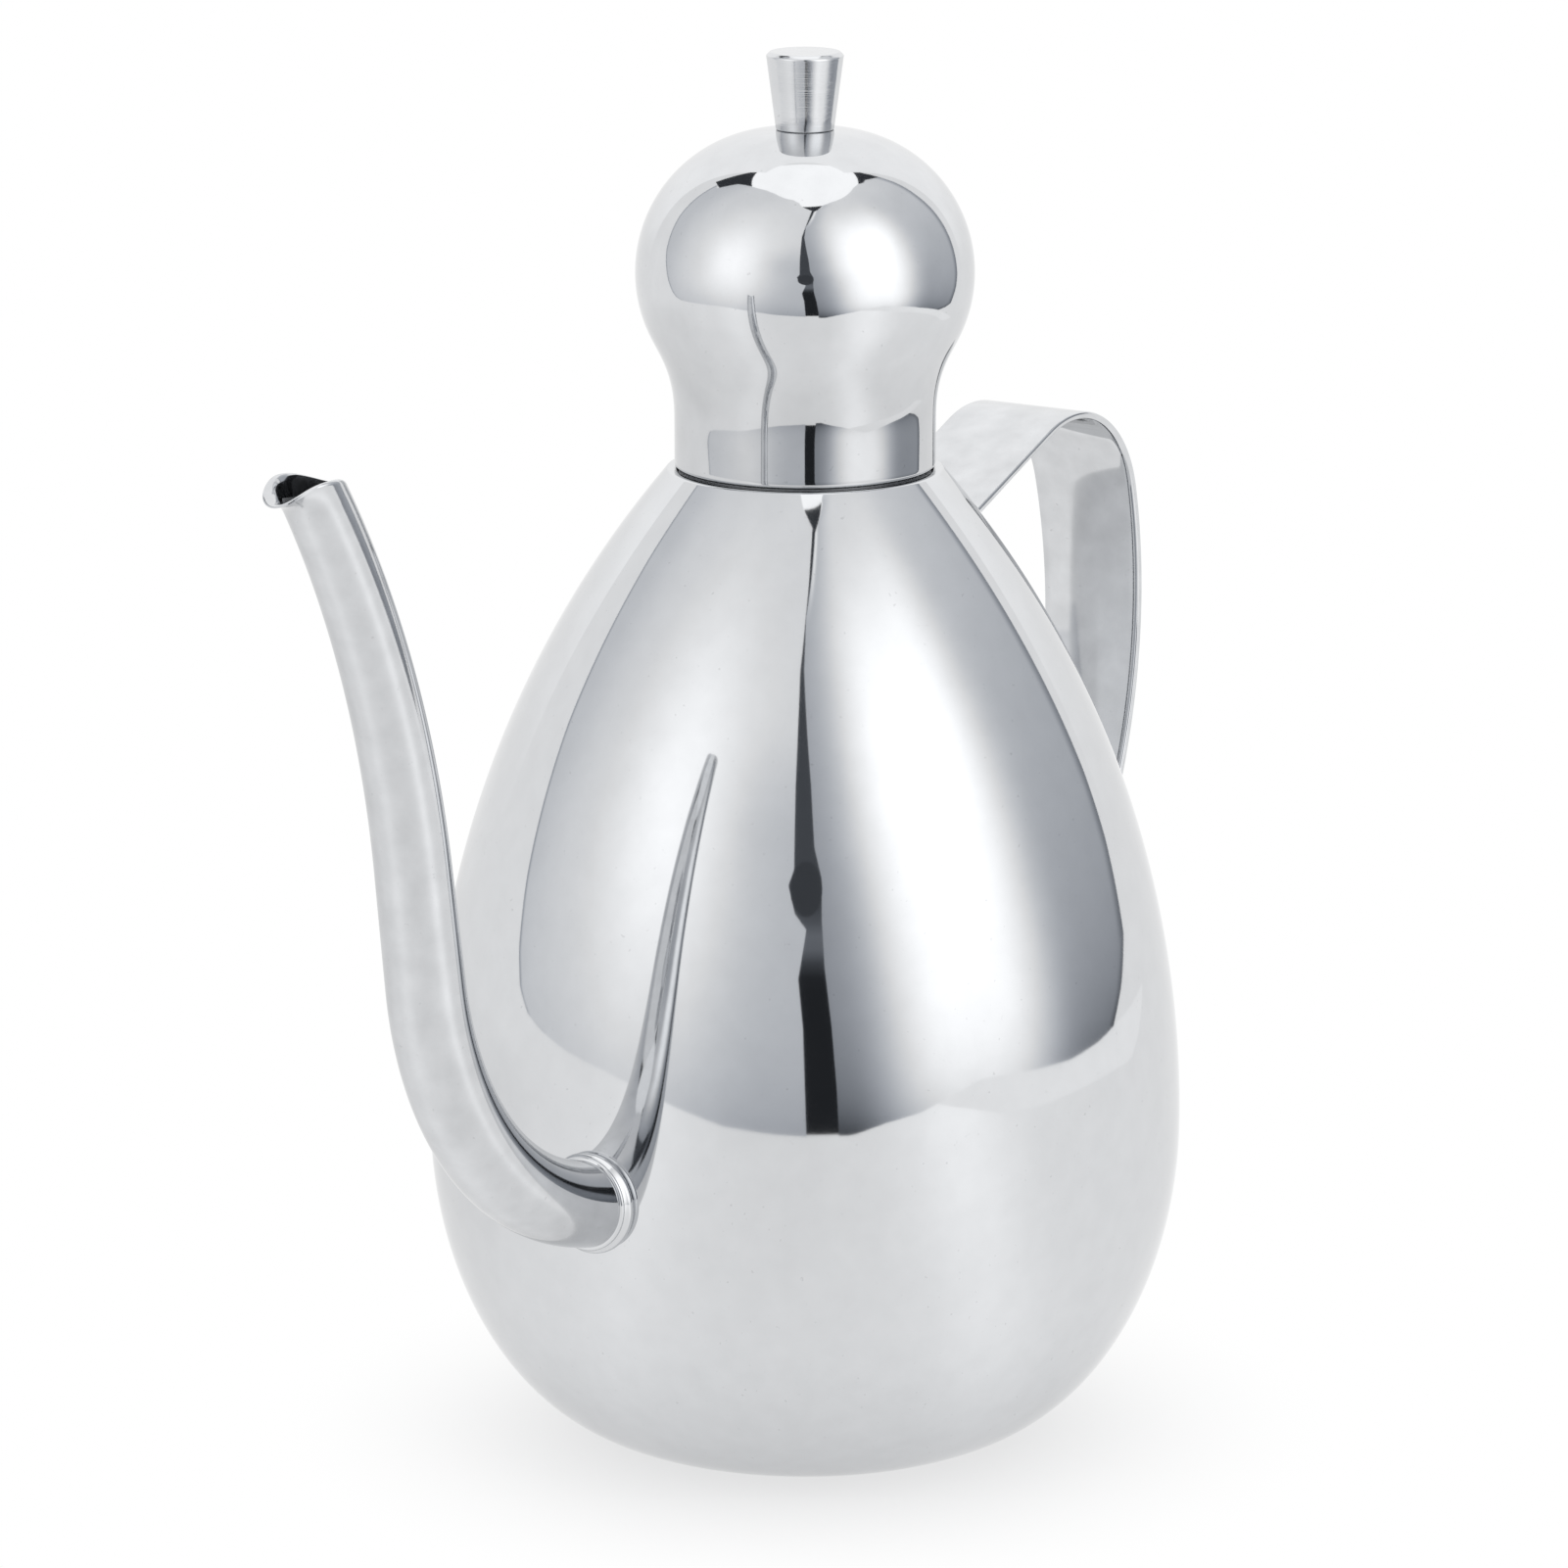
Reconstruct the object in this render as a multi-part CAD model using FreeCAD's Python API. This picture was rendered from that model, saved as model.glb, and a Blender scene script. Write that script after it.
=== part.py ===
import FreeCAD, Part
import math
import os

# A pear-shaped pouring pot in polished steel sheet. It stands on z = 0 with its axis on Z,
# the spout leaves along +X and the strap handle is at -X. All lengths are in millimetres.

# Body shell: a quarter ellipse below the widest point and one long arc above it
body_sheet = 0.7
belly_radius = 51.5
belly_height = 44.2
base_radius = 22.0
base_ledge = 5.0
shoulder_arc_radius = 140.9

# Base plate, lapped on the ledge from inside
base_plate_sheet = 0.7
base_lap = 4.0

# Neck collar, a plain ring let into the mouth of the shell
neck_radius = 17.3
rim_ledge = 1.3
collar_wall = 1.2
collar_depth = 9.0
collar_rise = 0.9
edge_break = 0.25

# Lid: a straight skirt, a flare and a ball, with a plug sleeve inside
lid_sheet = 0.7
lid_overhang = 0.3
lid_seat_gap = 0.05
skirt_height = 6.8
flare_radius = 17.0
ball_radius = 22.8
ball_arc_radius = 19.3
lid_clearance = 0.35
sleeve_sheet = 0.7
sleeve_depth = 8.0
sleeve_lap = 5.5

# Knob with its screw and washer
knob_base_radius = 3.9
knob_top_radius = 5.2
knob_height = 10.4
knob_bevel = 0.5
screw_radius = 1.5
screw_engagement = 6.0
thread_runout = 1.0
screw_clearance = 0.2
thread_clearance = 0.05
screw_head_radius = 2.8
screw_head_height = 1.9
screw_slot_length = 4.2
screw_slot_width = 0.8
screw_slot_depth = 1.0
washer_radius = 3.4
washer_thickness = 0.5

# Spout: a bend up from the belly, a straight run and a slow bend outwards
spout_wall = 0.7
spout_base_radius = 5.85
spout_mouth_radius = 4.25
spout_exit_angle = 10.0
spout_bend_radius = 45.0
spout_run_angle = 81.5
spout_run = 16.0
spout_tip_radius = 128.0
spout_tip_angle = 57.0
spout_root = 8.0
spout_stations = 18
ring_points = 24
lip_roll = 5.5
lip_turn = 80.0
lip_stations = 6
lip_sink = 1.5
mouth_arch_radius = 10.6
mouth_arch_ahead = 1.7
mouth_arch_drop = 7.7
bead_radius = 0.9

# Handle: one strip bent into a loop, its two ends turned down flat on the shell
strap_thickness = 1.4
strap_top_width = 17.0
strap_foot_width = 13.5
finger_room = 25.3
handle_drop = 0.7
handle_back_drop = 32.0
handle_foot_rise = 3.3
handle_bend_radius = 18.0
handle_arm_angle = 22.6
strap_overrun = 4.2
tab_length = 10.0
tab_corner = 2.5
weld_spacing = 7.0
weld_radius = 1.5
weld_depth = 0.25

origin = FreeCAD.Vector(0, 0, 0)
axis_z = FreeCAD.Vector(0, 0, 1)


def point(r, z):
    """A point of a half section, at radius r and height z."""
    return FreeCAD.Vector(r, 0, z)


def on_circle(centre, radius, degrees):
    """The section point on a circle, at an angle up from the outward direction."""
    turn = math.radians(degrees)
    return (centre[0] + radius * math.cos(turn), centre[1] + radius * math.sin(turn))


def line(start, end):
    return Part.LineSegment(point(*start), point(*end)).toShape()


def arc(centre, radius, start, end):
    """A circle arc of a half section between two angles in degrees."""
    spots = [on_circle(centre, radius, a) for a in (start, 0.5 * (start + end), end)]
    return Part.Arc(*[point(*s) for s in spots]).toShape()


def polygon(corners):
    closed = corners + corners[:1]
    return [line(a, b) for a, b in zip(closed, closed[1:])]


def section(edges):
    """The flat face that a closed chain of edges bounds."""
    return Part.Face(Part.Wire(Part.__sortEdges__(edges)))


def turned(edges):
    """The solid of revolution of a half section about the pot's axis."""
    return section(edges).revolve(origin, axis_z, 360)


def save(shape, node):
    shape.exportStep("parts/" + node + ".step")


# Body outline

shoulder_centre = (belly_radius - shoulder_arc_radius, belly_height)
rim_radius = neck_radius + rim_ledge
rim_angle = math.degrees(math.acos((rim_radius - shoulder_centre[0]) / shoulder_arc_radius))
rim_height = on_circle(shoulder_centre, shoulder_arc_radius, rim_angle)[1]


def bowl(grow):
    """The quarter ellipse below the belly, moved outwards by grow."""
    across = belly_radius - base_radius + grow
    down = belly_height + grow
    side = point(base_radius + across, belly_height)
    foot = point(base_radius, belly_height - down)
    centre = point(base_radius, belly_height)
    if across > down:
        whole = Part.Ellipse(side, foot, centre)
    else:
        whole = Part.Ellipse(foot, side, centre)
    ends = sorted((whole.parameter(side), whole.parameter(foot)))
    if ends[1] - ends[0] > math.pi:
        ends = [ends[1], ends[0] + 2 * math.pi]
    return whole.toShape(ends[0], ends[1])


def envelope(grow):
    """The body's filled outline, moved outwards by grow."""
    top = on_circle(shoulder_centre, shoulder_arc_radius + grow, rim_angle)
    edges = [
        bowl(grow),
        arc(shoulder_centre, shoulder_arc_radius + grow, 0, rim_angle),
        line(top, (0, top[1])),
        line((0, top[1]), (0, -grow)),
        line((0, -grow), (base_radius, -grow)),
    ]
    return turned(edges)


body_envelope = envelope(0)

# Body shell

hem_height = rim_height - body_sheet
hem_angle = math.degrees(
    math.asin((hem_height - belly_height) / (shoulder_arc_radius - body_sheet))
)
hem_radius = on_circle(shoulder_centre, shoulder_arc_radius - body_sheet, hem_angle)[0]
ledge_radius = base_radius - base_ledge
shell_edges = [
    bowl(0),
    arc(shoulder_centre, shoulder_arc_radius, 0, rim_angle),
    line((rim_radius, rim_height), (neck_radius, rim_height)),
    line((neck_radius, rim_height), (neck_radius, hem_height)),
    line((neck_radius, hem_height), (hem_radius, hem_height)),
    arc(shoulder_centre, shoulder_arc_radius - body_sheet, 0, hem_angle),
    bowl(-body_sheet),
    line((base_radius, body_sheet), (ledge_radius, body_sheet)),
    line((ledge_radius, body_sheet), (ledge_radius, 0)),
    line((ledge_radius, 0), (base_radius, 0)),
]
body_shell = turned(shell_edges)

# Base plate

base_plate = Part.makeCylinder(
    ledge_radius + base_lap, base_plate_sheet, point(0, body_sheet), axis_z
)

# Neck collar

collar_bore = neck_radius - collar_wall
collar_top = rim_height + collar_rise
collar_foot = rim_height - collar_depth
neck_collar = turned(
    polygon(
        [
            (collar_bore, collar_foot),
            (neck_radius, collar_foot),
            (neck_radius, collar_top - edge_break),
            (neck_radius - edge_break, collar_top),
            (collar_bore + edge_break, collar_top),
            (collar_bore, collar_top - edge_break),
        ]
    )
)

# Lid shell

lid_foot = collar_top + lid_seat_gap
skirt_radius = neck_radius + lid_overhang
skirt_top = lid_foot + skirt_height
flare_angle = math.degrees(
    math.acos(1 - (ball_radius - skirt_radius) / (flare_radius + ball_arc_radius))
)
ball_height = skirt_top + (flare_radius + ball_arc_radius) * math.sin(math.radians(flare_angle))
ball_centre = (ball_radius - ball_arc_radius, ball_height)
flare_centre = (skirt_radius + flare_radius, skirt_top)
lid_top = ball_height + ball_arc_radius
screw_hole_radius = screw_radius + screw_clearance


def lid_side(inward):
    """The lid's outline from the skirt's foot to the screw hole, moved in by the sheet."""
    flat = ball_height + ball_arc_radius - inward
    return [
        line((skirt_radius - inward, lid_foot), (skirt_radius - inward, skirt_top)),
        arc(flare_centre, flare_radius + inward, 180, 180 - flare_angle),
        arc(ball_centre, ball_arc_radius - inward, -flare_angle, 90),
        line((ball_centre[0], flat), (screw_hole_radius, flat)),
    ]


lid_shell = turned(
    lid_side(0)
    + lid_side(lid_sheet)
    + [
        line((skirt_radius - lid_sheet, lid_foot), (skirt_radius, lid_foot)),
        line((screw_hole_radius, lid_top - lid_sheet), (screw_hole_radius, lid_top)),
    ]
)

# Lid sleeve

sleeve_land = skirt_radius - lid_sheet
plug_radius = collar_bore - lid_clearance
lid_sleeve = turned(
    polygon(
        [
            (plug_radius, lid_foot),
            (sleeve_land, lid_foot),
            (sleeve_land, lid_foot + sleeve_lap),
            (sleeve_land - sleeve_sheet, lid_foot + sleeve_lap),
            (sleeve_land - sleeve_sheet, lid_foot + sleeve_sheet),
            (plug_radius - sleeve_sheet, lid_foot + sleeve_sheet),
            (plug_radius - sleeve_sheet, lid_foot - sleeve_depth),
            (plug_radius, lid_foot - sleeve_depth),
        ]
    )
)

# Knob

thread_radius = screw_radius + thread_clearance
knob_top = lid_top + knob_height
thread_depth = screw_engagement + thread_runout
lid_knob = turned(
    polygon(
        [
            (thread_radius, lid_top),
            (knob_base_radius, lid_top),
            (knob_top_radius, knob_top - knob_bevel),
            (knob_top_radius - knob_bevel, knob_top),
            (0, knob_top),
            (0, lid_top + thread_depth),
            (thread_radius, lid_top + thread_depth),
        ]
    )
)

# Knob washer and screw

washer_top = lid_top - lid_sheet
washer_foot = washer_top - washer_thickness
knob_washer = turned(
    polygon(
        [
            (screw_hole_radius, washer_foot),
            (washer_radius, washer_foot),
            (washer_radius, washer_top),
            (screw_hole_radius, washer_top),
        ]
    )
)
head_foot = washer_foot - screw_head_height
knob_screw = turned(
    polygon(
        [
            (0, head_foot),
            (screw_head_radius - edge_break, head_foot),
            (screw_head_radius, head_foot + edge_break),
            (screw_head_radius, washer_foot),
            (screw_radius, washer_foot),
            (screw_radius, lid_top + screw_engagement),
            (0, lid_top + screw_engagement),
        ]
    )
)
for turn in (0, 90):
    slot = Part.makeBox(
        screw_slot_length,
        screw_slot_width,
        screw_slot_depth,
        FreeCAD.Vector(-screw_slot_length / 2, -screw_slot_width / 2, head_foot),
    )
    slot.rotate(origin, axis_z, turn)
    knob_screw = knob_screw.cut(slot)

# Spout

bend_length = spout_bend_radius * math.radians(spout_run_angle - spout_exit_angle)
tip_length = spout_tip_radius * math.radians(spout_run_angle - spout_tip_angle)
spout_length = bend_length + spout_run + tip_length
bend_centre = on_circle((belly_radius, belly_height), spout_bend_radius, spout_exit_angle + 90)
bend_end = on_circle(bend_centre, spout_bend_radius, spout_run_angle - 90)
run_end = on_circle(bend_end, spout_run, spout_run_angle)
tip_centre = on_circle(run_end, spout_tip_radius, spout_run_angle - 90)


def spout_station(length):
    """The centre and heading of the spout at a length along it from the belly."""
    if length < 0:
        return on_circle((belly_radius, belly_height), length, spout_exit_angle), spout_exit_angle
    if length < bend_length:
        heading = spout_exit_angle + math.degrees(length / spout_bend_radius)
        return on_circle(bend_centre, spout_bend_radius, heading - 90), heading
    if length < bend_length + spout_run:
        return on_circle(bend_end, length - bend_length, spout_run_angle), spout_run_angle
    heading = spout_run_angle - math.degrees((length - bend_length - spout_run) / spout_tip_radius)
    return on_circle(tip_centre, spout_tip_radius, heading + 90), heading


mouth_centre, mouth_heading = spout_station(spout_length)


def spout_ring(centre, heading, radius, push):
    """A round section of the spout, its front drawn out by push towards the lip."""
    ahead = on_circle((0, 0), 1, heading - 90)
    spots = []
    for i in range(ring_points):
        turn = 2 * math.pi * i / ring_points
        out = radius * math.cos(turn) + push * max(0.0, math.cos(turn)) ** 2
        spot = (centre[0] + out * ahead[0], centre[1] + out * ahead[1])
        spots.append(FreeCAD.Vector(spot[0], radius * math.sin(turn), spot[1]))
    curve = Part.BSplineCurve()
    curve.interpolate(Points=spots, PeriodicFlag=True)
    return Part.Wire(curve.toShape())


def spout_core(inset, overrun):
    """The filled spout moved in by inset: an even taper, then the lip rolling forward."""
    rings = []
    for i in range(spout_stations + 1):
        length = -spout_root + (spout_length + spout_root) * i / spout_stations
        share = max(0.0, length / spout_length)
        radius = spout_base_radius + (spout_mouth_radius - spout_base_radius) * share
        rings.append(spout_ring(*spout_station(length), radius - inset, 0))
    for i in range(lip_stations):
        turn = math.radians(lip_turn * (i + 1) / lip_stations)
        centre = on_circle(mouth_centre, lip_roll * math.sin(turn), mouth_heading)
        push = lip_roll * (1 - math.cos(turn))
        rings.append(spout_ring(centre, mouth_heading, spout_mouth_radius - inset, push))
    if overrun:
        turn = math.radians(lip_turn)
        past = lip_roll * math.sin(turn) + overrun * math.cos(turn)
        push = lip_roll * (1 - math.cos(turn)) + overrun * math.sin(turn)
        centre = on_circle(mouth_centre, past, mouth_heading)
        rings.append(spout_ring(centre, mouth_heading, spout_mouth_radius - inset, push))
    return Part.makeLoft(rings, True, False)


spout_outer = spout_core(0, 0)
spout_bore = spout_core(spout_wall, spout_wall)

# The mouth is cut to a round arch seen from the side, high in the middle and low at the lip.
arch_centre = (mouth_centre[0] + mouth_arch_ahead, mouth_centre[1] - mouth_arch_drop)
trim_size = 4 * mouth_arch_radius
trim = Part.makeBox(
    trim_size,
    trim_size,
    trim_size,
    FreeCAD.Vector(arch_centre[0] - trim_size / 2, -trim_size / 2, mouth_centre[1] - lip_sink),
)
arch = Part.makeCylinder(
    mouth_arch_radius,
    2 * trim_size,
    FreeCAD.Vector(arch_centre[0], -trim_size, arch_centre[1]),
    FreeCAD.Vector(0, 1, 0),
)
spout_tube = spout_outer.cut(spout_bore).cut(trim.cut(arch)).cut(body_envelope)
exit_way = point(*on_circle((0, 0), 1, spout_exit_angle))
spout_hole = Part.makeCylinder(
    spout_base_radius - spout_wall, 2 * spout_root, point(*spout_station(-spout_root)[0]), exit_way
)
body_shell = body_shell.cut(spout_hole)

# Bead round the foot of the spout

bead_centre, bead_heading = spout_station(bead_radius)
spout_bead = Part.makeTorus(
    spout_base_radius,
    bead_radius,
    point(*bead_centre),
    point(*on_circle((0, 0), 1, bead_heading)),
)
spout_bead = spout_bead.cut(spout_outer).cut(body_envelope)

# Handle strap

handle_top = rim_height - handle_drop
handle_reach = belly_radius + finger_room
back_height = handle_top - handle_back_drop
foot_height = belly_height + handle_foot_rise
back_fall = back_height - foot_height
back_radius = (finger_room**2 + back_fall**2) / (2 * finger_room)
back_centre = (handle_reach - back_radius, back_height)
crown_height = handle_top - handle_bend_radius
crown_angle = math.degrees(
    math.asin((crown_height - back_height) / (back_radius - handle_bend_radius))
)
crown_centre = on_circle(back_centre, back_radius - handle_bend_radius, crown_angle)
arm_start = handle_arm_angle + 90
foot_angle = -math.degrees(math.asin(back_fall / back_radius))
root_angle = foot_angle - math.degrees(strap_overrun / back_radius)
arm_length = crown_centre[0]


def strap_side(inset):
    """One face of the strip seen from the side, and its two ends inside the body's outline."""
    arm_end = on_circle(crown_centre, handle_bend_radius - inset, arm_start)
    arm_root = on_circle(arm_end, arm_length, handle_arm_angle + 180)
    back_root = on_circle(back_centre, back_radius - inset, root_angle)
    edges = [
        line(arm_root, arm_end),
        arc(crown_centre, handle_bend_radius - inset, arm_start, crown_angle),
        arc(back_centre, back_radius - inset, crown_angle, root_angle),
    ]
    return edges, (arm_root, back_root)


outer_side, outer_ends = strap_side(0)
inner_side, inner_ends = strap_side(strap_thickness)
strap_cuts = [line(a, b) for a, b in zip(outer_ends, inner_ends)]
strap_face = section(outer_side + inner_side + strap_cuts)
strap_face.translate(FreeCAD.Vector(0, -strap_top_width / 2, 0))
strap = strap_face.extrude(FreeCAD.Vector(0, strap_top_width, 0))


def half_width(height):
    """Half the strip's width at a height, falling evenly from its top to its foot."""
    share = (handle_top - height) / (handle_top - foot_height)
    return 0.5 * (strap_top_width + (strap_foot_width - strap_top_width) * share)


taper_corners = []
for side, height in ((-1, 0), (1, 0), (1, handle_top), (-1, handle_top)):
    taper_corners.append(FreeCAD.Vector(0, side * half_width(height), height))
taper = Part.Face(Part.makePolygon(taper_corners + taper_corners[:1]))
strap = strap.common(taper.extrude(FreeCAD.Vector(2 * handle_reach, 0, 0))).cut(body_envelope)

# The height at which the arm meets the shoulder
arm_foot, arm_tip = [v.Point for v in outer_side[0].Vertexes]
arm_way = (arm_tip - arm_foot).normalize()
from_centre = arm_tip - point(*shoulder_centre)
along = from_centre.dot(arm_way)
reach_back = along - math.sqrt(along**2 - from_centre.Length**2 + shoulder_arc_radius**2)
arm_height = (arm_tip - arm_way * reach_back).z

tab_layer = envelope(strap_thickness).cut(body_envelope)


def tab(height):
    """An end of the strip turned down on the shell below a height, with its spot welds."""
    low = height - tab_length
    wide = 2 * half_width(height)
    blank = Part.makeBox(
        2 * handle_reach,
        wide,
        tab_length + strap_thickness,
        FreeCAD.Vector(0, -wide / 2, low),
    )
    corners = [e for e in blank.Edges if abs(e.BoundBox.XLength - 2 * handle_reach) < 1e-6]
    low_corners = [e for e in corners if e.BoundBox.ZMax < low + tab_corner]
    piece = tab_layer.common(blank.makeFillet(tab_corner, low_corners))
    dish = (weld_radius**2 + weld_depth**2) / (2 * weld_depth)
    middle = 0.5 * (low + height)
    if middle > belly_height:
        rise = middle - belly_height
        surface = shoulder_centre[0] + math.sqrt(
            (shoulder_arc_radius + strap_thickness) ** 2 - rise**2
        )
        lean = math.degrees(math.asin(rise / (shoulder_arc_radius + strap_thickness)))
    else:
        surface = belly_radius + strap_thickness
        lean = 0.0
    for side in (-1, 1):
        swing = math.degrees(math.asin(side * weld_spacing / 2 / surface))
        ball = on_circle((surface, middle), dish - weld_depth, lean)
        dimple = Part.makeSphere(dish, point(*ball))
        dimple.rotate(origin, axis_z, swing)
        piece = piece.cut(dimple)
    return piece


handle_strap = strap.fuse([tab(arm_height), tab(foot_height)]).removeSplitter()
handle_strap.rotate(origin, axis_z, 180)

os.makedirs("parts", exist_ok=True)
save(body_shell, "body_shell")
save(base_plate, "base_plate")
save(neck_collar, "neck_collar")
save(spout_tube, "spout_tube")
save(spout_bead, "spout_bead")
save(handle_strap, "handle_strap")
save(lid_shell, "lid_shell")
save(lid_sleeve, "lid_sleeve")
save(lid_knob, "lid_knob")
save(knob_washer, "knob_washer")
save(knob_screw, "knob_screw")
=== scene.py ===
import math

import bmesh
import bpy
import numpy as np
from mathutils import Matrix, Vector


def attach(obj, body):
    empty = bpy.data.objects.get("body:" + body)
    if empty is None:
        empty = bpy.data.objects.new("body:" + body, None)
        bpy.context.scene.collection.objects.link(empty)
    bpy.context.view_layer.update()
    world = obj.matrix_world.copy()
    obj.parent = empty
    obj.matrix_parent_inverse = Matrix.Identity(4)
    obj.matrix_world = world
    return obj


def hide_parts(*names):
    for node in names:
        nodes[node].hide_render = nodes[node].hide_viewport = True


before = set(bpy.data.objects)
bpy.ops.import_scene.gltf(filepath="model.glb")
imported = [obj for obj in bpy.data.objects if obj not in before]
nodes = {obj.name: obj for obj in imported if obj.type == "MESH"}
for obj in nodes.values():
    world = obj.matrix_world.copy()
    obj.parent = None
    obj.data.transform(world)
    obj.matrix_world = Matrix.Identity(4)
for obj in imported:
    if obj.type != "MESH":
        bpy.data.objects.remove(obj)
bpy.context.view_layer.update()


# Body shell: one drawn pear of stainless sheet, mirror polished outside and left satin inside. A flat
# ledge is turned in at the base for the plate and a narrow one at the mouth for the collar, and a hole
# is drilled through the belly for the spout.

MM = 0.001
sheet = 0.7
belly_radius, belly_height = 51.5, 44.2
base_radius, ledge_radius = 22.0, 17.0
shoulder_radius = 140.9
rim_radius, neck_radius = 18.6, 17.3
rim_roll, rim_groove = 0.5, 0.35
rim_ease, rim_lead, rim_join = 0.4, 0.25, 0.02
side_span, side_spacing = 12.0, 0.85
hole_radius, hole_slope, hole_depth, hole_columns = 5.15, 10.0, 6.0, 64
sharp_corner = 35.0
steel_tint = (0.665, 0.675, 0.69)
satin_tint = (0.60, 0.61, 0.625)


def arc(centre, radius, start, end, count):
    """Points on a circle: the centre plus the radius turned evenly from start to end degrees."""
    turn = np.radians(np.linspace(start, end, count))
    return np.stack([centre[0] + radius * np.cos(turn), centre[1] + radius * np.sin(turn)], -1)


def run(start, end, count):
    """Points spaced evenly on the straight line from start to end."""
    share = np.linspace(0, 1, count)[:, None]
    return np.asarray(start) * (1 - share) + np.asarray(end) * share


def chain(*parts, apart=1e-6):
    """The parts one after the other, without the points that two neighbours share."""
    points = np.concatenate(parts)
    step = np.linalg.norm(np.diff(points, axis=0), axis=1)
    return points[np.concatenate([[True], step > apart])]


def moved_in(profile, depth):
    """The profile shifted to its left by depth, along the normal of its running direction."""
    along = np.gradient(profile, axis=0)
    along /= np.linalg.norm(along, axis=1)[:, None]
    return profile + depth * np.stack([-along[:, 1], along[:, 0]], -1)


def rounded(corners, radius, closed=True, count=5, lead=1.25):
    """A polygon whose corners become quadratic curves of about that radius, with a point just before
    and just after each, lead radii from the corner, so that the flats between them shade flat."""
    corners = np.asarray(corners, float)
    before, after = np.roll(corners, 1, axis=0) - corners, np.roll(corners, -1, axis=0) - corners
    into = before / np.linalg.norm(before, axis=1)[:, None]
    out = after / np.linalg.norm(after, axis=1)[:, None]
    t = np.linspace(0, 1, count)[None, :, None]
    start, end = corners + radius * into, corners + radius * out
    bend = (1 - t) ** 2 * start[:, None] + 2 * t * (1 - t) * corners[:, None] + t**2 * end[:, None]
    first, last = corners + lead * radius * into, corners + lead * radius * out
    bend = np.concatenate([first[:, None], bend, last[:, None]], 1)
    if closed:
        return bend.reshape(-1, 2)
    return np.concatenate([corners[:1], bend[1:-1].reshape(-1, 2), corners[-1:]])


def smoothed(profile, span, spacing, fine_step=0.05):
    """The profile with its curvature evened out: its heading against its length is averaged over span
    with a raised cosine, and the points are summed up again along that heading between the same ends."""
    step = np.linalg.norm(np.diff(profile, axis=0), axis=1)
    length = np.concatenate([[0], np.cumsum(step)])
    fine = np.linspace(0, length[-1], int(length[-1] / fine_step) + 1)
    even = np.stack([np.interp(fine, length, profile[:, k]) for k in (0, 1)], -1)
    heading = np.unwrap(np.arctan2(*np.diff(even, axis=0).T[::-1]))
    half = int(0.5 * span / fine_step)
    window = 1 + np.cos(np.linspace(-np.pi, np.pi, 2 * half + 1))
    heading = np.pad(heading, half, mode="reflect", reflect_type="odd")
    heading = np.convolve(heading, window / window.sum(), mode="valid")
    stride = np.stack([np.cos(heading), np.sin(heading)], -1) * (fine[1] - fine[0])
    drawn = even[0] + np.concatenate([np.zeros((1, 2)), np.cumsum(stride, axis=0)])
    drawn += np.linspace(0, 1, len(drawn))[:, None] * (even[-1] - drawn[-1])
    pick = np.linspace(0, len(drawn) - 1, int(length[-1] / spacing) + 1).round().astype(int)
    return drawn[pick]


def turned(profile, count=192):
    """A profile of radius and height carried round the axis: radius times (cos, sin) of the turn."""
    turn = np.linspace(0, 2 * np.pi, count, endpoint=False)
    ring = np.stack([np.cos(turn), np.sin(turn)], -1)
    flat = profile[:, None, :1] * ring[None]
    high = np.broadcast_to(profile[:, None, 1:], flat.shape[:2] + (1,))
    return np.concatenate([flat, high], -1)


def joined(name, grid, materials, loop=True, which=None, weld=1e-7):
    """A closed surface through a grid of points in millimetres. Columns always close on themselves;
    rows close when loop is true and otherwise end in flat caps. which gives each row's material, and
    points within the weld distance, in metres, become one."""
    rows, columns = grid.shape[:2]
    last = rows if loop else rows - 1
    i, j = np.meshgrid(np.arange(last), np.arange(columns), indexing="ij")
    down, right = (i + 1) % rows, (j + 1) % columns
    quads = np.stack([i, down, down, i], -1) * columns + np.stack([j, j, right, right], -1)
    quads = quads.reshape(-1, 4)
    points = grid.reshape(-1, 3) * MM
    spans = points[quads[:, 1:]] - points[quads[:, :1]]
    facing = np.cross(spans[:, 0], spans[:, 1]) + np.cross(spans[:, 1], spans[:, 2])
    if np.sum(facing * (points[quads].mean(1) - points.mean(0))) < 0:
        quads = quads[:, ::-1]
    mesh = bpy.data.meshes.new(name)
    caps = []
    if not loop:
        flip = 1 if quads[0, 0] == 0 else -1
        first_row, last_row = range(columns), range((rows - 1) * columns, rows * columns)
        caps = [list(first_row)[::flip], list(last_row)[::-flip]]
    mesh.from_pydata(points.tolist(), [], quads.tolist() + caps)
    for material in materials:
        mesh.materials.append(material)
    if which is not None:
        index = np.repeat(np.asarray(which)[:last], columns)
        index = np.concatenate([index, np.zeros(len(caps))]).astype(np.int32)
        mesh.polygons.foreach_set("material_index", index)
    work = bmesh.new()
    work.from_mesh(mesh)
    bmesh.ops.remove_doubles(work, verts=work.verts, dist=weld)
    work.to_mesh(mesh)
    work.free()
    mesh.polygons.foreach_set("use_smooth", np.ones(len(mesh.polygons), bool))
    mesh.set_sharp_from_angle(angle=math.radians(sharp_corner))
    mesh.update()
    piece = bpy.data.objects.new(name, mesh)
    bpy.context.scene.collection.objects.link(piece)
    return piece


def add(tree, kind, links=(), **settings):
    """A shader node with some of its settings and input sockets filled in or linked. An underscore in a
    socket's name stands for a space."""
    node = tree.nodes.new(kind)
    for key, value in settings.items():
        if hasattr(node, key):
            setattr(node, key, value)
        else:
            node.inputs[key.replace("_", " ")].default_value = value
    for socket, source in dict(links).items():
        tree.links.new(source, node.inputs[socket])
    return node


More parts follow.
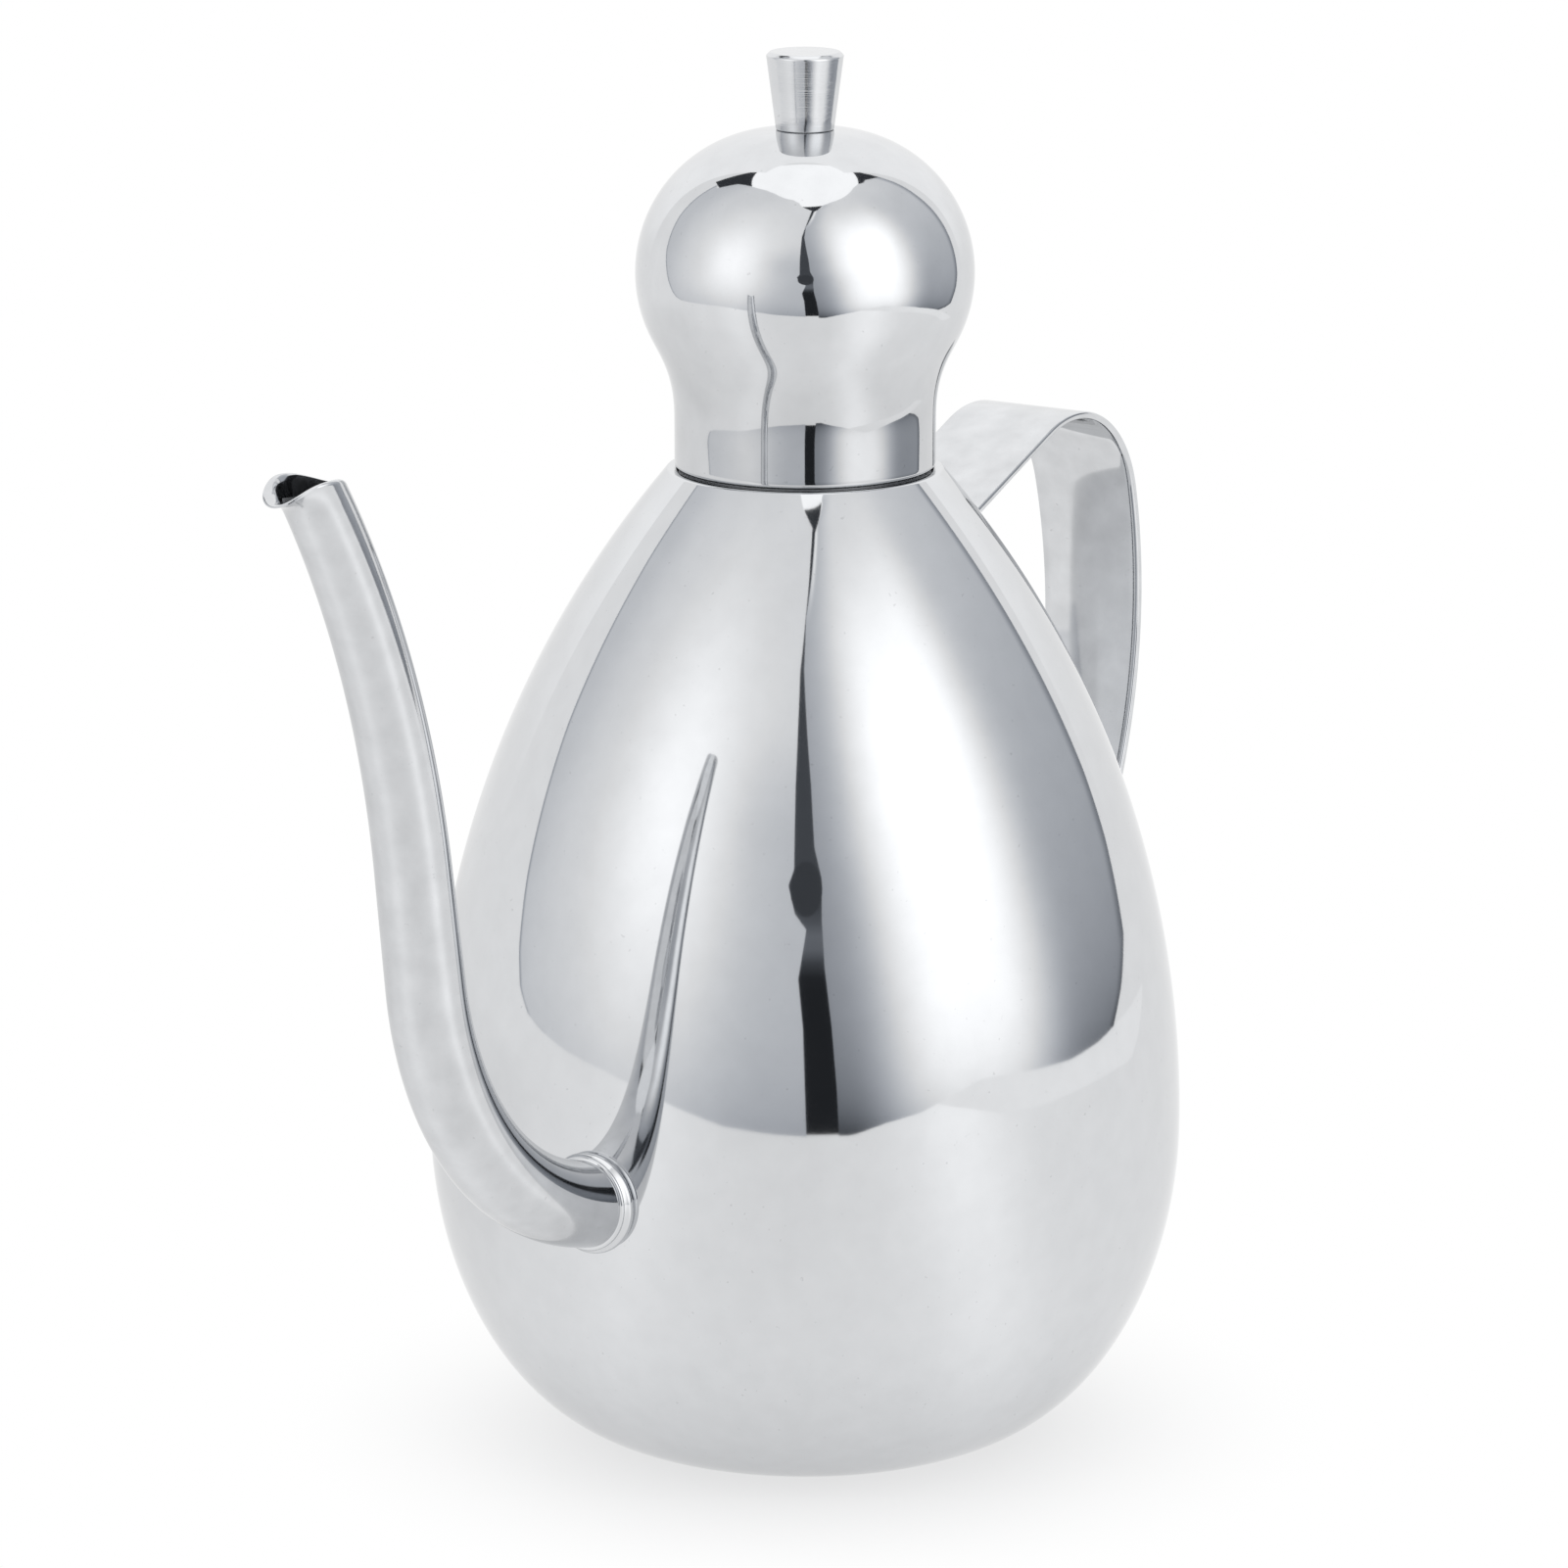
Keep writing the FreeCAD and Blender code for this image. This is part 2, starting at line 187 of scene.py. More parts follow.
def steel(
    name, tint, rough, stretch,
    ripple=0.0, streak=0.0, smudge=0.02, mottle=0.06, metal=1.0, painted_low_shade=None,
):
    """Bare stainless steel. Slow noise dulls it in patches and, with three parts of finer noise, mottles
    its colour up and down by mottle. Noise drawn out by the stretch gives the marks of the polishing
    wheel, which with slow ripples make its bump, and sparse specks are dark pits. A piece given a low
    shade carries painted shade: a share of its colour is dimmed below one height, less and less up to
    another."""
    slow_scale, cloud_scale, pit_scale, swell_scale = 38.0, 260.0, 1400.0, 27.0
    pit_start, pit_full, pit_shade = 0.74, 0.80, 0.88
    patch_start, patch_full = 0.35, 0.75
    cloud_parts, mark_share, edge_tint = 3.0, 0.5, (0.92, 0.92, 0.92, 1)
    material = bpy.data.materials.new(name)
    material.use_nodes = True
    tree = material.node_tree
    shader = tree.nodes["Principled BSDF"]
    shader.inputs["Metallic"].default_value = metal
    shader.inputs["Specular Tint"].default_value = edge_tint
    place = add(tree, "ShaderNodeTexCoord").outputs["Object"]
    spot = {"Vector": place}
    slow = add(tree, "ShaderNodeTexNoise", spot, Scale=slow_scale, Detail=4.0, Roughness=0.6)
    drawn = add(tree, "ShaderNodeMapping", spot, Scale=stretch)
    marks = add(tree, "ShaderNodeTexNoise", {"Vector": drawn.outputs["Vector"]}, Scale=1.0, Detail=3.0)
    fine = add(tree, "ShaderNodeTexNoise", spot, Scale=pit_scale, Detail=1.0)
    specks = {"Value": fine.outputs["Fac"]}
    pits = add(tree, "ShaderNodeMapRange", specks, From_Min=pit_start, From_Max=pit_full)
    cloud = add(tree, "ShaderNodeTexNoise", spot, Scale=cloud_scale, Detail=3.0)
    both = {0: cloud.outputs["Fac"], 2: slow.outputs["Fac"]}
    spread = add(tree, "ShaderNodeMath", both, operation="MULTIPLY_ADD")
    spread.inputs[1].default_value = cloud_parts
    summed = {"Value": spread.outputs["Value"]}
    shade = add(tree, "ShaderNodeMapRange", summed, From_Max=cloud_parts + 1)
    tone = add(tree, "ShaderNodeMix", {"Factor": shade.outputs["Result"]}, data_type="RGBA")
    tone.inputs["A"].default_value = (*[(1 - mottle) * c for c in tint], 1)
    tone.inputs["B"].default_value = (*[(1 + mottle) * c for c in tint], 1)
    spots = {"Factor": pits.outputs["Result"], "A": tone.outputs["Result"]}
    pitted = add(tree, "ShaderNodeMix", spots, data_type="RGBA")
    pitted.inputs["B"].default_value = (*[pit_shade * c for c in tint], 1)
    colour = pitted.outputs["Result"]
    # Painted shade: below one height the colour is dimmed by a share, less and less up to another.
    if painted_low_shade:
        height = add(tree, "ShaderNodeSeparateXYZ", spot).outputs["Z"]
        unshaded = add(
            tree, "ShaderNodeMapRange", {"Value": height}, interpolation_type="SMOOTHSTEP",
            From_Min=painted_low_shade[0] * MM, From_Max=painted_low_shade[1] * MM, To_Min=1 - painted_low_shade[2],
        )
        dimmed = {"Vector": colour, "Scale": unshaded.outputs["Result"]}
        colour = add(tree, "ShaderNodeVectorMath", dimmed, operation="SCALE").outputs["Vector"]
    tree.links.new(colour, shader.inputs["Base Color"])
    dull = add(
        tree, "ShaderNodeMapRange", {"Value": slow.outputs["Fac"]},
        From_Min=patch_start, From_Max=patch_full, To_Min=rough, To_Max=rough + smudge,
    )
    rubbed = {0: marks.outputs["Fac"], 2: dull.outputs["Result"]}
    worn = add(tree, "ShaderNodeMath", rubbed, operation="MULTIPLY_ADD")
    worn.inputs[1].default_value = mark_share * smudge
    tree.links.new(worn.outputs["Value"], shader.inputs["Roughness"])
    swell = add(tree, "ShaderNodeTexNoise", spot, Scale=swell_scale, Detail=1.0)
    risen = {"Height": swell.outputs["Fac"]}
    waves = add(tree, "ShaderNodeBump", risen, Strength=1.0, Distance=ripple * MM)
    scored = {"Height": marks.outputs["Fac"], "Normal": waves.outputs["Normal"]}
    lines = add(tree, "ShaderNodeBump", scored, Strength=1.0, Distance=streak * MM)
    tree.links.new(lines.outputs["Normal"], shader.inputs["Normal"])
    return material


shoulder_centre = (belly_radius - shoulder_radius, belly_height)
rim_angle = math.degrees(math.acos((rim_radius - shoulder_centre[0]) / shoulder_radius))
rim_height = shoulder_centre[1] + shoulder_radius * math.sin(math.radians(rim_angle))
roll_height = rim_height - rim_roll
roll_angle = math.degrees(math.asin((roll_height - shoulder_centre[1]) / (shoulder_radius - rim_roll)))
roll_radius = shoulder_centre[0] + (shoulder_radius - rim_roll) * math.cos(math.radians(roll_angle))
roll_centre = (roll_radius, roll_height)
quarter = np.radians(np.linspace(-90, 0, num=400))
bowl_radius = base_radius + (belly_radius - base_radius) * np.cos(quarter)
bowl = np.stack([bowl_radius, belly_height * (1 + np.sin(quarter))], -1)
pear = chain(
    run((ledge_radius, 0), (base_radius, 0), count=40),
    bowl,
    arc(shoulder_centre, shoulder_radius, 0, roll_angle - rim_ease, count=800),
)
side = smoothed(pear, side_span, side_spacing)
widest, narrowest = side[:, 0].max(), side[-1, 0]
swell = np.clip((side[:, 0] - narrowest) / (widest - narrowest), 0, 1)
side[:, 0] += (belly_radius - widest) * swell
rim = chain(
    arc(shoulder_centre, shoulder_radius, roll_angle - rim_lead, roll_angle - rim_join, count=4),
    arc(roll_centre, rim_roll, roll_angle, 90, count=8),
)
rim_flat = run((roll_centre[0], rim_height), (neck_radius, rim_height), count=3)
lining = moved_in(chain(side, rim, rim_flat), sheet)[::-1]
mouth_rows, base_rows, thinning = 12, 2, 3
lining = np.concatenate(
    [lining[:mouth_rows], lining[mouth_rows:-base_rows:thinning], lining[-base_rows:]]
)
groove_middle = (neck_radius + rim_groove, rim_height - rim_groove)
skin = chain(side, rim, arc(groove_middle, rim_groove, 90, 180, count=6))
mirror = steel(
    "mirror polished steel", steel_tint, rough=0.03, stretch=(45, 45, 1500), ripple=0.035,
    streak=0.0002,
)
inside_satin = steel(
    "ground inside steel", satin_tint, rough=0.24, stretch=(25, 25, 2600), streak=0.004,
    smudge=0.08,
)
pot_body = joined(
    "pot_body",
    turned(chain(skin, lining)),
    [mirror, inside_satin],
    which=[0] * (len(skin) - 1) + [1] * (len(lining) + 1),
)
slope = math.radians(hole_slope)
hole_turn = np.linspace(0, 2 * np.pi, hole_columns, endpoint=False)[None]
hole_along = np.array([[-hole_depth], [hole_depth]])
hole_up, hole_aside = hole_radius * np.cos(hole_turn), hole_radius * np.sin(hole_turn)
hole_points = np.broadcast_arrays(
    belly_radius + hole_along * math.cos(slope) - hole_up * math.sin(slope),
    hole_aside,
    belly_height + hole_along * math.sin(slope) + hole_up * math.cos(slope),
)
drill = joined("drill", np.stack(hole_points, -1), [mirror], loop=False)
cut = pot_body.modifiers.new("spout hole", "BOOLEAN")
cut.object, cut.operation, cut.solver = drill, "DIFFERENCE", "EXACT"
worked_out = bpy.context.evaluated_depsgraph_get()
drilled = bpy.data.meshes.new_from_object(pot_body.evaluated_get(worked_out))
drilled.set_sharp_from_angle(angle=math.radians(sharp_corner))
pot_body.modifiers.clear()
pot_body.data = drilled
bpy.data.objects.remove(drill)
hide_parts("body_shell")
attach(pot_body, "pot")


# Base plate: a pressed steel disc that closes the bottom, lapped on the ledge from inside and welded.
# It keeps the dull face of the sheet it was cut from.

nodes["base_plate"].data.materials.clear()
nodes["base_plate"].data.materials.append(
    steel(
        "mill finish sheet", satin_tint, rough=0.30, stretch=(2200, 30, 30), streak=0.003,
        smudge=0.08,
    )
)


# Neck collar: a turned steel ring pressed into the mouth. Its top stands just above the rim, thinned so
# that the lid's edge slips over it, and its outer face, out of the wheel's reach, stays dull and is
# coloured dark as painted shade.

collar_wall, collar_depth, collar_rise, collar_corner = 1.2, 9.0, 0.9, 0.2
thinned_wall, thinned_depth, groove_margin = 0.65, 0.4, 0.1
collar_bore = neck_radius - collar_wall
collar_top = rim_height + collar_rise
thinned_radius = collar_bore + thinned_wall
collar_profile = rounded(
    [
        (collar_bore, rim_height - collar_depth),
        (neck_radius, rim_height - collar_depth),
        (neck_radius, rim_height - thinned_depth - collar_wall + thinned_wall),
        (thinned_radius, rim_height - thinned_depth),
        (thinned_radius, collar_top),
        (collar_bore, collar_top),
    ],
    collar_corner,
)
# Painted shade: the collar's outer face is coloured dark for the shaded gap under the lid's edge; only
# its roughness is its own.
dull_shaded_groove = steel(
    "dull shaded groove steel", (0.42, 0.43, 0.445), rough=0.28, stretch=(45, 45, 3000), streak=0.002,
    smudge=0.1,
)
mouth_ring = joined(
    "mouth_ring",
    turned(collar_profile),
    [mirror, dull_shaded_groove],
    which=(collar_profile[:, 0] > thinned_radius - groove_margin).astype(int),
)
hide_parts("neck_collar")
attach(mouth_ring, "pot")


# Spout: a thin tapered tube, bent up from the belly and buffed by hand, so it is a little duller than
# the body. Its mouth is cut to an arch and the front is rolled forward into a pouring lip.

spout_wall = 0.7
foot_radius, mouth_radius = 5.85, 4.25
exit_angle, run_angle, tip_angle = hole_slope, 81.5, 57.0
bend_radius, straight_run, tip_radius = 45.0, 16.0, 128.0
lip_roll, lip_turn, lip_sink = 5.5, 80.0, 1.5
arch_radius, arch_ahead, arch_drop = 10.6, 1.7, 7.7
lip_edge, foot_sink = 0.4, 0.3
seam_search, lip_search = (-8.0, 20.0), 0.8
spout_columns, outer_rows, inner_rows, edge_rows = 128, 440, 110, 5
spout_tint, scale_tint, polished_rows = (0.62, 0.63, 0.645), (0.17, 0.176, 0.186), 3

bend_length = bend_radius * math.radians(run_angle - exit_angle)
tip_length = tip_radius * math.radians(run_angle - tip_angle)
spout_length = bend_length + straight_run + tip_length


def spout_line(length):
    """Centre and heading at a length along the spout: a bend, a straight run and a slow bend outwards.
    Each bend turns the heading by its length over its radius; before its start it runs straight."""
    bent = np.clip(length, 0, bend_length)
    ran = np.clip(length - bend_length, 0, straight_run)
    leant = np.clip(length - bend_length - straight_run, 0, tip_length)
    turn = math.radians(exit_angle) + bent / bend_radius
    heading = turn - leant / tip_radius
    x = belly_radius + bend_radius * (np.sin(turn) - math.sin(math.radians(exit_angle)))
    z = belly_height - bend_radius * (np.cos(turn) - math.cos(math.radians(exit_angle)))
    steep = math.radians(run_angle)
    x += ran * math.cos(steep) + tip_radius * (math.sin(steep) - np.sin(heading)) * (leant > 0)
    z += ran * math.sin(steep) - tip_radius * (math.cos(steep) - np.cos(heading)) * (leant > 0)
    spare = np.minimum(length, 0)
    x += spare * np.cos(heading)
    z += spare * np.sin(heading)
    return x, z, heading


def spout_skin(length, turn, inset):
    """A point of the spout at a length and a turn round it. The radius shrinks evenly to the mouth.
    Past the mouth the front is pushed out by the lip's roll times one minus the cosine of its turn."""
    x, z, heading = spout_line(length)
    roll = np.clip((length - spout_length) / lip_roll, 0, None)
    bent = np.minimum(roll, math.radians(lip_turn))
    past = roll - bent
    ahead = lip_roll * np.sin(bent) + lip_roll * past * math.cos(math.radians(lip_turn))
    push = lip_roll * (1 - np.cos(bent)) + lip_roll * past * math.sin(math.radians(lip_turn))
    radius = foot_radius + (mouth_radius - foot_radius) * np.clip(length / spout_length, 0, 1) - inset
    out = radius * np.cos(turn) + push * np.clip(np.cos(turn), 0, None) ** 2
    x = x + ahead * np.cos(heading) + out * np.sin(heading)
    z = z + ahead * np.sin(heading) - out * np.cos(heading)
    return np.stack([x, radius * np.sin(turn), z], -1)


mouth_x, mouth_z, _ = [float(v) for v in spout_line(np.array(spout_length))]


def above_mouth(point):
    """True where the mouth's cut has taken the metal: above the lip's level and outside the arch."""
    across = np.hypot(point[..., 0] - mouth_x - arch_ahead, point[..., 2] - mouth_z + arch_drop)
    return (point[..., 2] > mouth_z - lip_sink) & (across > arch_radius)


def outside_body(point):
    """True outside the pear: beyond the bowl's ellipse below the belly, beyond the long arc above it."""
    across = np.hypot(point[..., 0], point[..., 1])
    height = point[..., 2]
    low = np.hypot((across - base_radius) / (belly_radius - base_radius), height / belly_height - 1)
    high = np.hypot(across - shoulder_centre[0], height - shoulder_centre[1]) / shoulder_radius
    return np.where(height < belly_height, low, high) > 1


def first_length(start, end, turn, inset, test, steps=600, halvings=24):
    """The shortest length between start and end at which the test turns true: the first of even steps
    where it does, then its last step halved again and again."""
    tries = np.linspace(start, end, steps)[:, None]
    hit = test(spout_skin(tries, turn[None], inset))
    found = np.where(hit.any(0), hit.argmax(0), len(tries) - 1)
    low, high = tries[np.maximum(found - 1, 0), 0], tries[found, 0]
    for _ in range(halvings):
        middle = 0.5 * (low + high)
        true = test(spout_skin(middle, turn, inset))
        low, high = np.where(true, low, middle), np.where(true, middle, high)
    return high


around = np.linspace(0, 2 * np.pi, spout_columns, endpoint=False)
lip_end = spout_length + lip_roll * math.radians(lip_turn)
walls, ends = [], []
for inset, rows in ((0.0, outer_rows), (spout_wall, inner_rows)):
    begin = first_length(*seam_search, around, inset, outside_body) - foot_sink
    finish = first_length(lip_search * spout_length, lip_end, around, inset, above_mouth) - lip_edge
    share = np.linspace(0, 1, rows)[:, None]
    length = begin + (finish - begin) * share
    walls.append(spout_skin(length, around[None], inset))
    ends.append(finish)
nudge = 0.01
tip_way = spout_skin(ends[0] + nudge, around, 0) - spout_skin(ends[0] - nudge, around, 0)
tip_way /= np.linalg.norm(tip_way, axis=1)[:, None]
swing = np.linspace(0, np.pi, edge_rows + 2)[1:-1, None, None]
outer_tip, inner_tip = walls[0][-1], walls[1][-1]
edge = 0.5 * (outer_tip + inner_tip) + 0.5 * np.cos(swing) * (outer_tip - inner_tip)
edge = edge + lip_edge * np.sin(swing) * tip_way
buffed = steel(
    "buffed spout steel", spout_tint, rough=0.055, stretch=(180, 700, 60), ripple=0.03,
    streak=0.0006, smudge=0.06, mottle=0.16,
)
drawn_inside = steel(
    "drawn tube inside", scale_tint, rough=0.5, stretch=(400, 400, 40), smudge=0.1, metal=0.0
)
spout = joined(
    "spout",
    np.concatenate([walls[0], edge, walls[1][::-1]]),
    [buffed, drawn_inside],
    which=[0] * (len(walls[0]) + len(edge) + polished_rows) + [1] * (len(walls[1]) - polished_rows),
)
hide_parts("spout_tube")
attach(spout, "pot")


# Spout bead: the weld along the seam of the spout and the belly, dressed with a wheel to a half round
# against the body with a smaller one on the tube, and polished with the body.

bead_radius, bead_small, bead_sink, bead_spacing = 0.88, 0.42, 0.35, 1.9
bead_rows, large_end, small_start = 15, 12, 5
bead_turn = np.linspace(0, np.pi, bead_rows)
large, small = bead_turn[:large_end], bead_turn[small_start:]
large_along = bead_radius - bead_radius * np.cos(large)
small_along = bead_spacing * bead_radius + bead_small - bead_small * np.cos(small)
bead_along = np.concatenate([large_along[:1], large_along, small_along, small_along[-1:]])
bead_high = np.concatenate([bead_radius * np.sin(large), bead_small * np.sin(small)])
bead_high = np.concatenate([[-bead_sink], bead_high, [-bead_sink]])
seam = first_length(*seam_search, around, 0.0, outside_body)
bead_grid = spout_skin(seam[None] + bead_along[:, None], around[None], -bead_high[:, None])
spout_weld = joined("spout_weld", bead_grid, [mirror])
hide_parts("spout_bead")
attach(spout_weld, "pot")


# Handle: one strip of steel, bent over formers and polished by hand, its edges nearly square outside and
# eased on the fingers' side. Both ends are folded down on the shell, bowed to its curve, and held by
# two spot welds each.

strap_thickness, strap_crown = 1.4, 0.2
outer_edge, outer_roll, inner_edge, inner_roll = 0.2, 0.4, 0.4, 1.3
strap_top_width, strap_foot_width = 17.0, 13.5
finger_room, handle_drop, back_drop, foot_rise = 25.3, 0.7, 32.0, 3.3
crown_radius, arm_slope = 18.0, 22.6
tab_length, tab_corner, fold_size = 10.0, 2.5, 1.7
weld_spacing, weld_radius, weld_depth = 7.0, 1.5, 0.25
tab_rows, fold_rows, arm_rows, crown_rows, back_rows = 30, 9, 36, 58, 110
tab_crowding, bow_rows, face_columns, edge_columns = 1.25, 25, 45, 9
arm_search, back_search = (0.0, 45.0), (math.radians(-20), math.radians(-75))
strip_tint = (0.65, 0.66, 0.675)

handle_top = rim_height - handle_drop
handle_foot = belly_height + foot_rise
back_fall = handle_top - back_drop - handle_foot
back_radius = (finger_room**2 + back_fall**2) / (2 * finger_room)
back_centre = np.array([belly_radius + finger_room - back_radius, handle_top - back_drop])
crown_lift = handle_top - crown_radius - back_centre[1]
crown_angle = math.asin(crown_lift / (back_radius - crown_radius))
crown_way = np.array([math.cos(crown_angle), math.sin(crown_angle)])
crown_centre = back_centre + (back_radius - crown_radius) * crown_way
arm_turn = math.radians(90 + arm_slope)
arm_start = np.array([math.cos(arm_turn), math.sin(arm_turn)])
arm_way = np.array([-math.cos(math.radians(arm_slope)), -math.sin(math.radians(arm_slope))])
half_strap = 0.5 * strap_thickness
arm_tip = crown_centre + (crown_radius - half_strap) * arm_start


def shell_out(height, across):
    """How far behind the axis the middle of a strip lying on the shell is, at a height and a distance
    to the side: the shell's radius plus half the strip, less what its roundness takes away."""
    rise = height - belly_height
    above = shoulder_centre[0] + np.sqrt((shoulder_radius + half_strap) ** 2 - rise**2)
    drop = np.clip(-rise / (belly_height + half_strap), 0, 1)
    below = base_radius + (belly_radius - base_radius + half_strap) * np.sqrt(1 - drop**2)
    return np.sqrt(np.where(rise > 0, above, below) ** 2 - across**2)


def on_arm(way):
    """A point of the arm that far from the crown towards the shell."""
    return arm_tip + way[..., None] * arm_way


def on_back(turn):
    """A point of the long curved back, at an angle round its centre."""
    return back_centre + (back_radius - half_strap) * np.stack([np.cos(turn), np.sin(turn)], -1)


def meets_shell(path, start, end, across, halvings=40):
    """Where a path comes down on the shell, by halving the stretch between start and end."""
    near, far = np.full(across.shape, start), np.full(across.shape, end)
    for _ in range(halvings):
        middle = 0.5 * (near + far)
        point = path(middle)
        inside = point[..., 0] < shell_out(point[..., 1], across)
        near, far = np.where(inside, near, middle), np.where(inside, middle, far)
    return 0.5 * (near + far)


def strip_middle(across):
    """The middle of the strip from its upper end to its lower one, for each distance to the side: up the
    tab, round a fold, out along the arm, over the crown, down the back, round a fold, down the tab."""
    root = meets_shell(on_arm, *arm_search, across[0])
    foot = meets_shell(on_back, *back_search, across[-1])
    crowded = np.linspace(0, 1, tab_rows) ** tab_crowding
    tab = (tab_length - (tab_length - fold_size) * crowded)[:, None]
    ease = np.linspace(0, 1, fold_rows + 2)[1:-1, None, None]
    stretch = np.linspace(0, 1, arm_rows)[:, None]

    def down_tab(corner, rows):
        """The tab's rows, lying on the shell below the corner, closer together towards the tab's end."""
        height = corner[..., 1] - tab
        return np.stack([shell_out(height, rows), height], -1)

    def fold(first, corner, last):
        """A quadratic curve from first to last, drawn towards the corner."""
        return (1 - ease) ** 2 * first + 2 * ease * (1 - ease) * corner + ease**2 * last

    arm_corner, back_corner = on_arm(root), on_back(foot)
    upper = down_tab(arm_corner, across[:tab_rows])
    arm = on_arm((root - fold_size) * (1 - stretch))
    over = np.linspace(arm_turn, crown_angle, crown_rows + 2)[1:-1, None] + 0 * root
    crown = crown_centre + (crown_radius - half_strap) * np.stack([np.cos(over), np.sin(over)], -1)
    last_turn = foot + fold_size / back_radius
    back = on_back(crown_angle + (last_turn - crown_angle) * np.linspace(0, 1, back_rows)[:, None])
    lower = down_tab(back_corner, across[-tab_rows:][::-1])[::-1]
    upper_fold = fold(upper[-1], arm_corner, arm[0])
    lower_fold = fold(back[-1], back_corner, lower[0])
    return np.concatenate([upper, upper_fold, arm, crown, back, lower_fold, lower])


strip_rows = 2 * (tab_rows + fold_rows) + arm_rows + crown_rows + back_rows
flat = np.linspace(-1, 1, face_columns)
bend = np.radians(np.linspace(0, 90, edge_columns + 1))[1:]
outer_bend = half_strap - outer_edge * (1 - np.cos(bend))
inner_bend = inner_edge * (1 - np.cos(bend)) - half_strap
edge_a = np.concatenate([flat, np.ones(2 * len(bend))])
edge_b = np.concatenate([0 * flat, np.sin(bend), np.sin(bend)[::-1]])
wide = np.concatenate([edge_a, -edge_a])
round_off = np.concatenate([edge_b, -edge_b])
outer_face, inner_face = np.full(flat.shape, half_strap), np.full(flat.shape, -half_strap)
outer_half = [outer_face, outer_bend, inner_bend[::-1]]
inner_half = [inner_face, inner_bend, outer_bend[::-1]]
deep = np.concatenate(outer_half + inner_half)
roll = np.where(deep > 0, outer_roll, inner_roll)

spine = strip_middle(np.zeros((strip_rows, 1)))[:, 0]
fall = (handle_top - spine[:, 1]) / (handle_top - handle_foot)
half_width = 0.5 * (strap_top_width + (strap_foot_width - strap_top_width) * np.clip(fall, 0, 1))
rise = np.full(strip_rows, tab_corner)
rise[:tab_rows] = np.minimum(spine[:tab_rows, 1] - spine[0, 1], tab_corner)
rise[-tab_rows:] = np.minimum(spine[-tab_rows:, 1] - spine[-1, 1], tab_corner)
half_width -= tab_corner - np.sqrt(tab_corner**2 - (tab_corner - rise) ** 2)
across = wide * (half_width[:, None] - roll) + round_off * roll
middle = strip_middle(across)
way = np.gradient(middle, axis=0)
way /= np.linalg.norm(way, axis=-1)[..., None]
from_top = np.arange(strip_rows) - (tab_rows + fold_rows)
free = np.clip(np.minimum(from_top, from_top[::-1]) / bow_rows, 0, 1)[:, None]
bowed = strap_crown * free * (across / half_width[:, None]) ** 2
raised = deep + np.where(deep < 0, np.minimum(bowed, -deep), 0)
for rows, outward in ((slice(0, tab_rows), -1), (slice(-tab_rows, None), 1)):
    level = middle[rows, :, 1].max(0) + fold_size - 0.5 * tab_length
    aside = np.abs(across[rows]) - 0.5 * weld_spacing
    near = (aside**2 + (middle[rows, :, 1] - level) ** 2) / weld_radius**2
    dimple = outward * weld_depth * np.clip(1 - near, 0, None)
    raised[rows] -= np.where(deep * outward >= half_strap, dimple, 0)
behind = middle[..., 0] - way[..., 1] * raised
strip_grid = np.stack([-behind, across, middle[..., 1] + way[..., 0] * raised], -1)
strip_steel = steel(
    "polished strip", strip_tint, rough=0.03, stretch=(25, 1800, 25), ripple=0.03, streak=0.0004,
    smudge=0.07, mottle=0.18,
)
handle = joined("handle", strip_grid, [strip_steel], loop=False)
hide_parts("handle_strap")
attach(handle, "pot")


# Lid: skirt, flare and ball spun from one disc of stainless sheet and mirror polished. The skirt's edge
# is turned under over the collar; skirt and flare carry painted shade, less and less up to the ball.

lid_gap, lid_overhang = 0.05, 0.3
skirt_lap, skirt_roll, roll_start = 0.85, 0.75, -75.0
skirt_height, flare_radius = 6.8, 17.0
ball_radius, ball_arc = 22.8, 19.3
screw_hole = 1.7
dome_span, dome_spacing = 7.0, 0.42
lining_rise, flare_shade = 0.1, 0.1

lid_foot = collar_top + lid_gap
skirt_radius = neck_radius + lid_overhang
skirt_top = lid_foot + skirt_height
flare_angle = math.degrees(math.acos(1 - (ball_radius - skirt_radius) / (flare_radius + ball_arc)))
ball_height = skirt_top + (flare_radius + ball_arc) * math.sin(math.radians(flare_angle))
ball_centre = (ball_radius - ball_arc, ball_height)
lid_top = ball_height + ball_arc
skirt_foot = lid_foot - skirt_lap
dome = chain(
    run((skirt_radius, skirt_foot + skirt_roll), (skirt_radius, skirt_top), count=100),
    arc((skirt_radius + flare_radius, skirt_top), flare_radius, 180, 180 - flare_angle, count=300),
    arc(ball_centre, ball_arc, -flare_angle, 90, count=800),
    run((ball_centre[0], lid_top), (screw_hole, lid_top), count=20),
)
dome = smoothed(dome, dome_span, dome_spacing)
edge_centre = (skirt_radius - skirt_roll, skirt_foot + skirt_roll)
lid_skin = chain(arc(edge_centre, skirt_roll, roll_start, 0, count=9), dome)
lid_lining = moved_in(dome, sheet)[::-1]
lining_foot = [(skirt_radius - sheet, skirt_foot + lining_rise)]
lid_lining = chain(lid_lining[:2], lid_lining[2:-1:thinning], lid_lining[-1:], lining_foot)
# Painted shade: the skirt and the flare are coloured darker, less and less up to the ball.
lid_mirror = steel(
    "mirror polished lid", steel_tint, rough=0.03, stretch=(45, 45, 1500), ripple=0.035,
    streak=0.0003, smudge=0.03, mottle=0.09, painted_low_shade=(skirt_top, ball_height, flare_shade),
)
lid = joined(
    "lid",
    turned(chain(lid_skin, lid_lining)),
    [lid_mirror, inside_satin],
    which=[0] * (len(lid_skin) - 1) + [1] * (len(lid_lining) + 1),
)
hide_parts("lid_shell")
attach(lid, "lid")


# Lid sleeve: a stepped ring of steel pressed up into the skirt and left as it was turned.
# Its lower half plugs the mouth and centres the lid.

